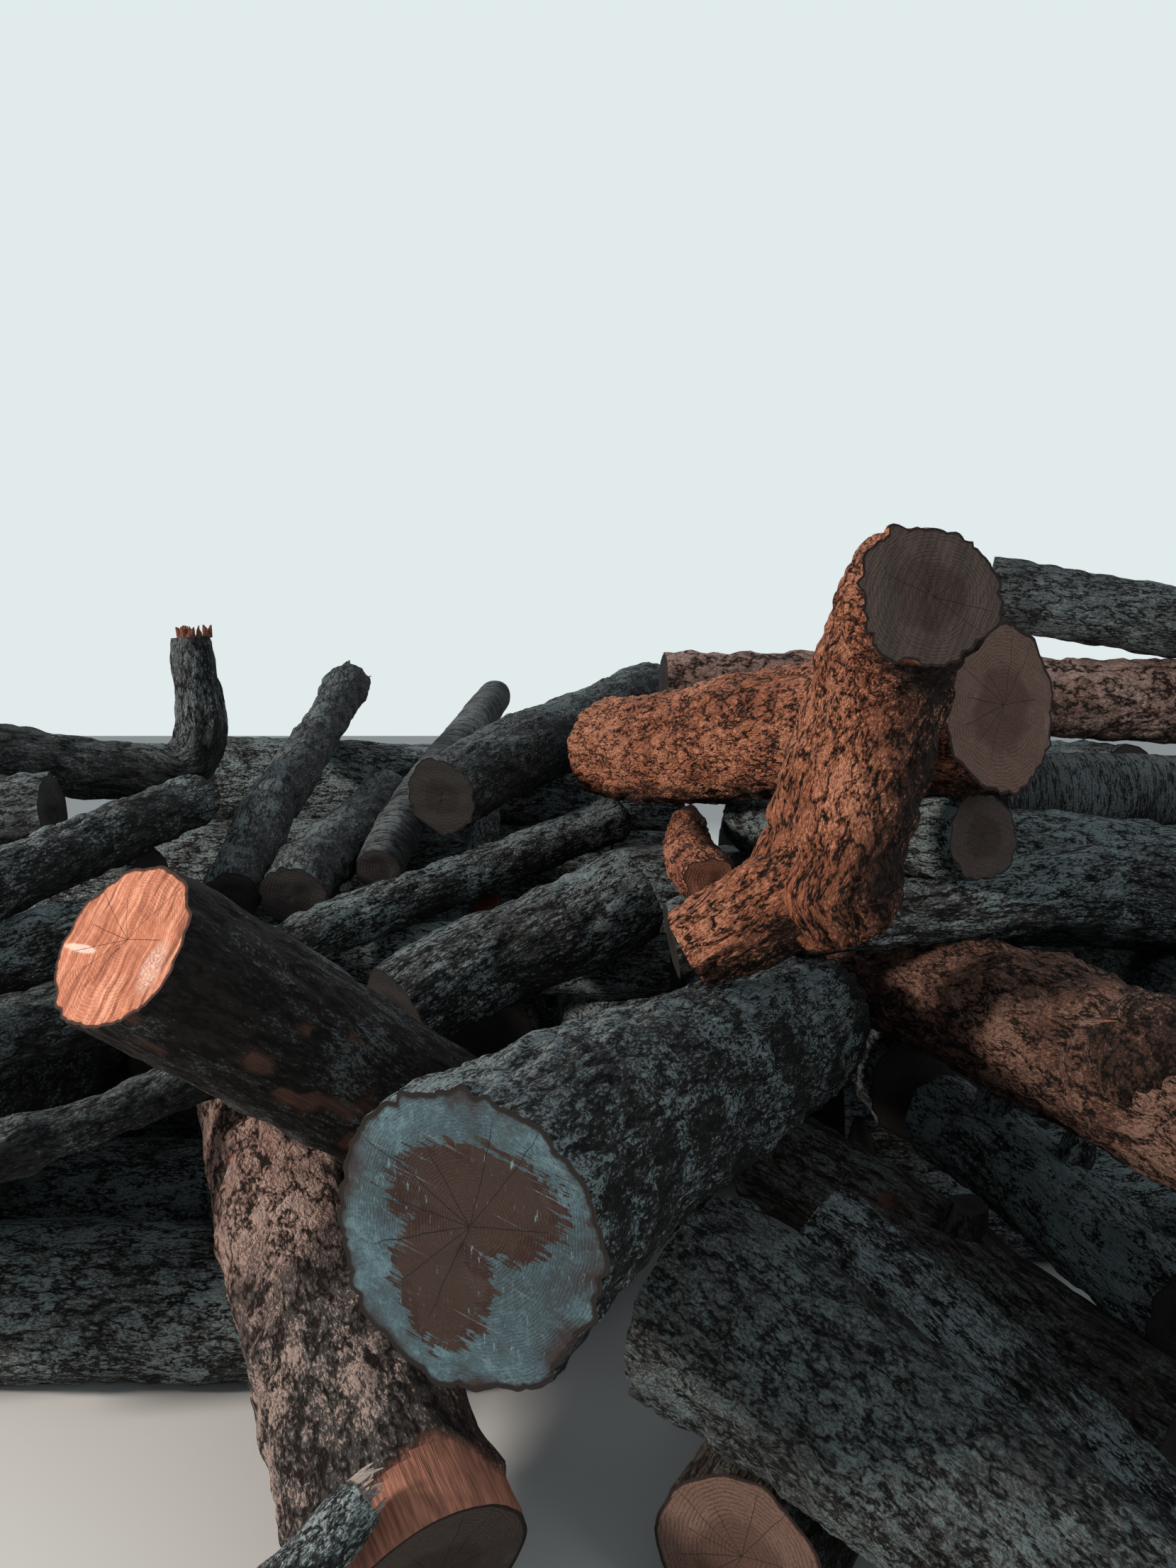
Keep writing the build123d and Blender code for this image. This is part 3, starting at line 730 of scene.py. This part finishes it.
class Wire:
    """A shader value in a Python expression: each operator adds its Math node."""

    def __init__(self, shade, socket):
        self.shade = shade
        self.socket = socket

    def math(self, operation, *others):
        return self.shade.math(operation, self, *others)

    def __add__(self, other):
        return self.math("ADD", other)

    def __sub__(self, other):
        return self.math("SUBTRACT", other)

    def __mul__(self, other):
        return self.math("MULTIPLY", other)

    def __truediv__(self, other):
        return self.math("DIVIDE", other)

    def __rsub__(self, other):
        return self.shade.math("SUBTRACT", other, self)

    def __rtruediv__(self, other):
        return self.shade.math("DIVIDE", other, self)

    __radd__ = __add__
    __rmul__ = __mul__

    def step(self, low, high):
        """0 below low, 1 above high, smooth between."""
        inputs = {"Value": self, "From Min": low, "From Max": high}
        return self.shade.node("ShaderNodeMapRange", {"interpolation_type": "SMOOTHSTEP"}, inputs)


class Shade:
    """A material under construction."""

    def __init__(self, name):
        self.material = bpy.data.materials.new(name)
        self.material.use_nodes = True
        self.tree = self.material.node_tree
        self.surface = self.tree.nodes["Principled BSDF"]

    def node(self, kind, settings, inputs, output=0):
        """Any node: its settings first, then the values or wires of its sockets, by name or in order."""
        made = self.tree.nodes.new(kind)
        for name, value in settings.items():
            setattr(made, name, value)
        pairs = inputs.items() if isinstance(inputs, dict) else enumerate(inputs)
        for place, value in pairs:
            self.plug(made.inputs[place], value)
        return Wire(self, made.outputs[output])

    def plug(self, socket, value):
        if isinstance(value, Wire):
            self.tree.links.new(value.socket, socket)
        else:
            socket.default_value = value

    def math(self, operation, *inputs):
        return self.node("ShaderNodeMath", {"operation": operation}, inputs)

    def attribute(self, name, output="Fac"):
        return self.node("ShaderNodeAttribute", {"attribute_name": name}, {}, output)

    def times(self, vector, scale):
        return self.node("ShaderNodeVectorMath", {"operation": "MULTIPLY"}, [vector, scale])

    def plus(self, vector, other):
        return self.node("ShaderNodeVectorMath", {"operation": "ADD"}, [vector, other])

    def split(self, vector):
        return [self.node("ShaderNodeSeparateXYZ", {}, [vector], axis) for axis in range(3)]

    def noise(self, vector, scale, detail=3.0, rough=0.55):
        inputs = {"Vector": vector, "Scale": scale, "Detail": detail, "Roughness": rough}
        return self.node("ShaderNodeTexNoise", {}, inputs)

    def borders(self, vector, scale):
        inputs = {"Vector": vector, "Scale": scale}
        return self.node("ShaderNodeTexVoronoi", {"feature": "DISTANCE_TO_EDGE"}, inputs)

    def mix(self, mask, first, second):
        """The first colour where the mask is 0, the second where it is 1."""
        first, second = [one if isinstance(one, Wire) else (*one, 1.0) for one in (first, second)]
        return self.node("ShaderNodeMix", {"data_type": "RGBA"}, {0: mask, 6: first, 7: second}, 2)

    def finish(self, colour, rough, height, relief):
        """Colour, roughness and a bump of that relief in metres."""
        bump = self.node("ShaderNodeBump", {}, {"Height": height, "Distance": relief, "Strength": 1.0})
        self.plug(self.surface.inputs["Base Color"], colour)
        self.plug(self.surface.inputs["Roughness"], rough)
        self.plug(self.surface.inputs["Normal"], bump)
        self.surface.inputs["Specular IOR Level"].default_value = 0.25
        return self.material


def dimmed(colour, share):
    return tuple(share * part for part in colour)


# Bark

def creases(noise):
    """0 where smooth noise crosses its middle value, rising on both sides."""
    return (noise - 0.5).math("ABSOLUTE") * 2


def braided_ridges(shade, bark, grain):
    """Ridges drawn out along the log, finer flakes over them, and chips with sharp borders."""
    length, width = bark.plate
    slim = shade.times(grain, (1 / length, 1 / width, 1 / width))
    ridges = creases(shade.noise(slim, 0.60, 3.0, 0.62)).step(0.0, 0.17)
    flakes = creases(shade.noise(shade.plus(slim, (9, 4, 7)), 1.6, 3.0, 0.68)).step(0.0, 0.20)
    chips = shade.borders(shade.plus(slim, shade.times(grain, (9, 9, 9))), 1.7).step(0.0, 0.22)
    return ridges * 0.40 + flakes * 0.30 + chips * 0.16


def bark_colour(shade, bark, height, painted_sun_side, broad, crumbs):
    """Furrows dark, crests pale (own tone and painted shade and highlight), a painted sunlit side, and lichen
    on what stands out.
    """
    # lit: darkest in the furrows and palest on the crests, partly the bark's own tone and partly painted
    # shade and painted highlight
    lit = (height + broad * 0.3 - 0.26).step(0.24, 0.78)
    # side: the painted sunlit side against the painted shade side
    side = (painted_sun_side * 1.5 + broad * 0.8 + crumbs * 0.3 - 1.05).step(0.0, 0.72)
    # crest here holds the painted sunlit colour
    crest = bark.painted_sun_side
    if bark.near_colour:
        far_half = (shade.attribute("along") + broad * 0.8).step(0.75, 1.35)
        crest = shade.mix(far_half, bark.near_colour, bark.painted_sun_side)
    colour = shade.mix(lit, bark.furrow, shade.mix(side, bark.painted_shade_side, crest))
    # the lichen leans to the crests and the painted sunlit side, so it is partly a painted highlight
    growth = broad * 0.60 + crumbs * 0.80 + painted_sun_side * 0.12 + height * 0.30
    rarity = 0.16 * bark.lichen_share
    return shade.mix(growth.step(1.12 - rarity, 1.24 - rarity) * 0.9, colour, bark.lichen)


@cache
def bark_material(kind):
    """Ridged bark, and bare fibrous wood where it is gone."""
    bark = BARKS[kind]
    shade = Shade(f"{kind}_bark")
    grain = shade.attribute("grain", "Vector")
    hollow, bare, painted_sun_side = (shade.attribute(name) for name in ("hollow", "bare", "painted_sun_side"))
    broad = shade.noise(grain, 4.5, 3.0, 0.6)
    crumbs = shade.noise(shade.times(grain, (0.6, 1, 1)), 190.0, 4.0, 0.80)
    height = braided_ridges(shade, bark, grain) + crumbs * 0.55 - hollow * 0.25
    colour = bark_colour(shade, bark, height, painted_sun_side, broad, crumbs)
    fibre = shade.noise(shade.times(grain, (0.06, 1, 1)), 160.0, 3.0, 0.6)
    wood = shade.mix((fibre * 0.7 + broad * 0.6 - 0.15).step(0.25, 0.75), dimmed(bark.wood, 0.30), bark.wood)
    height = height * (1 - bare) + fibre * 0.12 * bare
    return shade.finish(shade.mix(bare, colour, wood), 0.96 - 0.15 * bare, height, 0.85 * bark.plate[1])


# Sawn and broken ends

class Cut(Shade):
    """An end's material, with the values that all its marks share."""

    def __init__(self, name):
        super().__init__(name)
        self.reach, self.radius = self.attribute("reach"), self.attribute("radius")
        _, self.x, self.y = self.split(self.attribute("grain", "Vector"))
        self.flat = self.node("ShaderNodeCombineXYZ", {}, [self.x, self.y, 0.0])
        self.broad = self.noise(self.flat, 9.0, 4.0, 0.6)
        self.fine = self.noise(self.flat, 190.0, 5.0, 0.75)

    def oval(self, middle, half):
        """0 in the middle of an oval, 1 on its edge and more outside: both given in shares of the radius."""
        dx = (self.x / self.radius - middle[0]) / half[0]
        dy = (self.y / self.radius - middle[1]) / half[1]
        return (dx * dx + dy * dy).math("SQRT")


def late_wood(cut, away, width):
    """The dark line of each year: a sine of the distance from the pith, which fades in and out."""
    ring = ((away + cut.broad * 0.035) * (2 * pi / width)).math("SINE") * 0.5 + 0.5
    return ring.step(0.50, 0.98) * (cut.noise(cut.flat, 30.0) * 1.4).step(0.35, 0.9)


def radial_cracks(cut, x, y, away):
    """1 in a crack. White noise picks some of the spokes, and how far out each goes."""
    spoke = y.math("ARCTAN2", x) * (SPOKES / (2 * pi)) + cut.broad * 0.55
    between = (spoke.math("FRACT") - 0.5).math("ABSOLUTE") * away / cut.radius
    chosen = cut.node("ShaderNodeTexWhiteNoise", {"noise_dimensions": "1D"}, {"W": spoke.math("FLOOR")})
    not_too_far = (chosen * 1.1 - cut.reach).step(-0.05, 0.1)
    return (1 - between.step(0.002, 0.009)) * chosen.step(0.35, 0.5) * not_too_far


def falling_streaks(cut):
    """Flat coordinates turned so that their first axis falls to the right."""
    inputs = {"Vector": cut.flat, "Angle": STREAK_FALL}
    return cut.node("ShaderNodeVectorRotate", {"rotation_type": "Z_AXIS"}, inputs)


def stained_heart(cut, falling):
    """Two joined ovals, 1 on their edge, which is drawn out in falling streaks."""
    upper = cut.oval((0.08, 0.27), (0.66, 0.38))
    lower = cut.oval((-0.16, -0.26), (0.38, 0.48))
    streak = cut.noise(cut.times(falling, (7, 110, 1)), 1.0, 4.0, 0.7)
    ragged = cut.noise(cut.flat, 24.0, 4.0, 0.75)
    return upper.math("MINIMUM", lower) + streak * 1.15 + ragged * 0.90 - 1.02


def stained_marks(cut, falling, heart, core, colour):
    """Mottled blue dust, a dark border inside the heart, pale scratches and drips, and a brown rim."""
    mottle = cut.noise(cut.flat, 60.0, 5.0, 0.80)
    grit = cut.noise(cut.flat, 520.0, 2.0, 0.7).step(0.40, 0.60)
    colour = cut.mix(grit * (1 - core) * 0.45, colour, (0.030, 0.046, 0.053))
    dark = (mottle + cut.broad * 0.9).step(0.80, 1.10) * (1 - core)
    colour = cut.mix(dark * 0.85, colour, (0.030, 0.036, 0.040))
    pale = (mottle * 0.8 - cut.broad * 0.5).step(0.14, 0.30) * (1 - core)
    colour = cut.mix(pale * 0.45, colour, (0.165, 0.285, 0.325))
    border = (heart * 0.6 + cut.noise(cut.flat, 15.0, 3.0, 0.6) * 1.5).step(1.18, 1.34) * core
    colour = cut.mix(border * 0.85, colour, (0.028, 0.012, 0.009))
    scratch = cut.noise(cut.times(falling, (4, 130, 1)), 1.0, 3.0, 0.6).step(0.63, 0.70)
    drip = cut.noise(cut.times(cut.flat, (110, 26, 1)), 1.0, 4.0, 0.75).step(0.60, 0.70)
    colour = cut.mix(scratch * mottle.step(0.35, 0.55) * 0.55, colour, (0.200, 0.215, 0.215))
    colour = cut.mix(drip * cut.broad.step(0.42, 0.58) * 0.75, colour, (0.210, 0.330, 0.370))
    return cut.mix((cut.reach + cut.broad * 0.55).step(1.12, 1.30) * 0.90, colour, (0.026, 0.013, 0.010))


def fresh_marks(cut, colour):
    """Streaks down the face with painted shadow between them, a torn pale splinter at its left and dried
    resin at its right.
    """
    streak = cut.noise(cut.times(cut.flat, (75, 4, 1)), 1.0, 4.0, 0.7)
    colour = cut.mix(streak.step(0.50, 0.64) * 0.60, colour, (0.76, 0.40, 0.27))
    painted_shadow = (1 - streak).step(0.49, 0.58) * cut.broad.step(0.40, 0.55)
    colour = cut.mix(painted_shadow * 0.85, colour, (0.17, 0.055, 0.032))
    blush = cut.noise(cut.flat, 16.0, 3.0, 0.6).step(0.45, 0.60)
    colour = cut.mix(blush * 0.45, colour, (0.36, 0.115, 0.062))
    resin = 1 - (cut.oval((0.66, -0.16), (0.26, 0.42)) + cut.broad * 0.7).step(0.80, 1.20)
    colour = cut.mix(resin * cut.fine.step(0.40, 0.60) * 0.8, colour, (0.66, 0.50, 0.43))
    torn = 1 - (cut.oval((-0.62, -0.10), (0.42, 0.07)) + cut.broad * 0.9).step(0.90, 1.25)
    return cut.mix(torn * 0.85, colour, (0.70, 0.52, 0.44))


def wood_colour(cut, face, late, core):
    """Outer wood and heart, the years' lines, dark pores and pale dust."""
    colour = cut.mix(core, face.outer, face.heart)
    colour = cut.mix(late * face.contrast, colour, face.line)
    colour = cut.mix(cut.fine.step(0.42, 0.60) * 0.50, colour, dimmed(face.heart, 0.50))
    rarity = 0.10 * face.speck_share
    speck = (cut.fine * 0.6 + cut.broad * 0.5).step(0.66 - rarity, 0.78 - rarity)
    return cut.mix(speck * (1 - core * 0.9) * 0.8, colour, face.speck)


@cache
def face_material(kind):
    """An end: wandering year rings, a heart, radial cracks, saw marks, and the dark bark round it."""
    face = FACES[kind]
    cut = Cut(f"{kind}_end")
    x, y = cut.x - cut.radius * PITH[0], cut.y - cut.radius * PITH[1]
    away = (x * x + y * y).math("SQRT")
    late = late_wood(cut, away, face.ring)
    cracks = radial_cracks(cut, x, y, away)
    if kind == "stained":
        falling = falling_streaks(cut)
        heart = stained_heart(cut, falling)
        core = 1 - heart.step(0.97, 1.04)
        colour = stained_marks(cut, falling, heart, core, wood_colour(cut, face, late, core))
    else:
        core = 1 - (cut.reach + cut.broad * 0.45 - 0.2).step(0.45, 0.62)
        colour = wood_colour(cut, face, late, core)
    if kind == "fresh":
        colour = fresh_marks(cut, colour)
    colour = cut.mix(cracks * 0.9, colour, dimmed(face.outer, 0.10))
    colour = cut.mix((cut.reach + cut.fine * 0.03).step(0.960, 0.985), colour, face.rim)
    marks = ((cut.y * 0.94 + cut.x * 0.34) * SAW_MARKS + cut.broad * 9).math("SINE") * 0.5 + 0.5
    height = cut.fine * 0.30 + marks * 0.25 + late * 0.2 - cracks * 1.5
    return cut.finish(colour, 0.85, height, FACE_RELIEF)


# Every log of the frame

def log_parts(corners, node, bark, rng):
    """The closed meshes of one log: its trunk and its limbs."""
    near, far, limbs = log_ends(corners)
    centres, radii = centre_line(corners, near, far)
    distance = np.linalg.norm(centres - EYE, axis=1).min()
    cell = np.clip(CELL_PER_METRE * distance, FINEST_CELL, COARSEST_CELL)
    if node in COURSES:
        cell = COURSE_CELL
    parts = [tube_part(centres, radii, bark, cell, rng)]
    rounded = node in ROUND_LIMBS
    for end in limbs:
        line, size = limb_line(end, centres, rounded)
        parts.append(tube_part(line, size, bark, cell, rng, (0, 0, 0) if rounded else (0, 1, 2)))
    return parts


def dress(node, seed):
    """Replaces a node with its logs in full relief."""
    rng = np.random.default_rng(seed)
    kind, near_face, far_face = FINISH.get(node, USUAL_FINISH)
    logs = separate_logs(node_triangles(node))
    parts = []
    for corners in logs:
        parts += log_parts(corners, node, BARKS[kind], rng)
    finishes = [bark_material(kind), face_material(near_face), face_material(far_face)]
    piece = joined_piece(f"{node}_bark", parts, finishes)
    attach(piece, BODY)
    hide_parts(node)
    if node in TORN:
        _, torn_end, _ = log_ends(logs[0])
        splinters(node, torn_end, rng)


# Floor, light and camera

def floor():
    """A wide pale sheet just under the lowest log."""
    level = CAD_BOX[0][2] - FLOOR_GAP
    corners = [(x * FLOOR_HALF, y * FLOOR_HALF, level) for x, y in ((-1, -1), (1, -1), (1, 1), (-1, 1))]
    mesh = bpy.data.meshes.new("floor")
    mesh.from_pydata(corners, [], [(0, 1, 2, 3)])
    pale = Shade("pale_floor")
    pale.surface.inputs["Base Color"].default_value = (*FLOOR_COLOUR, 1.0)
    pale.surface.inputs["Roughness"].default_value = 0.9
    mesh.materials.append(pale.material)
    placed("floor", mesh)


def lamp(name, place, aim, size, power, colour):
    light = bpy.data.lights.new(name, "AREA")
    light.shape = "DISK"
    light.size = size
    light.energy = power
    light.color = colour
    holder = placed(name, light)
    holder.location = place
    holder.rotation_euler = (Vector(aim) - Vector(place)).to_track_quat("-Z", "Y").to_euler()


def pale_room():
    """An even dim light from all round; the camera sees it as a pale backdrop."""
    world = bpy.data.worlds.new("pale_room")
    world.use_nodes = True
    tree = world.node_tree
    rays = tree.nodes.new("ShaderNodeLightPath")
    seen = tree.nodes.new("ShaderNodeMix")
    seen.data_type = "RGBA"
    seen.inputs[6].default_value = (*ROOM_LIGHT, 1.0)
    seen.inputs[7].default_value = (*BACKDROP, 1.0)
    tree.links.new(rays.outputs["Is Camera Ray"], seen.inputs[0])
    tree.links.new(seen.outputs[2], tree.nodes["Background"].inputs["Color"])
    bpy.context.scene.world = world


def camera_at_eye():
    """A camera at eye height, level but for a slight look down."""
    camera = bpy.data.cameras.new("camera")
    camera.sensor_fit = "VERTICAL"
    camera.sensor_height = SENSOR
    camera.lens = LENS
    holder = placed("camera", camera)
    holder.location = EYE
    holder.rotation_euler = (radians(90 - LOOK_DOWN), 0, 0)
    bpy.context.scene.camera = holder


for number, node in enumerate(sorted(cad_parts)):
    dress(node, FIRST_SEED + number)
floor()
for row in LAMPS:
    lamp(*row)
pale_room()
camera_at_eye()
bpy.context.scene.view_settings.view_transform = "Standard"
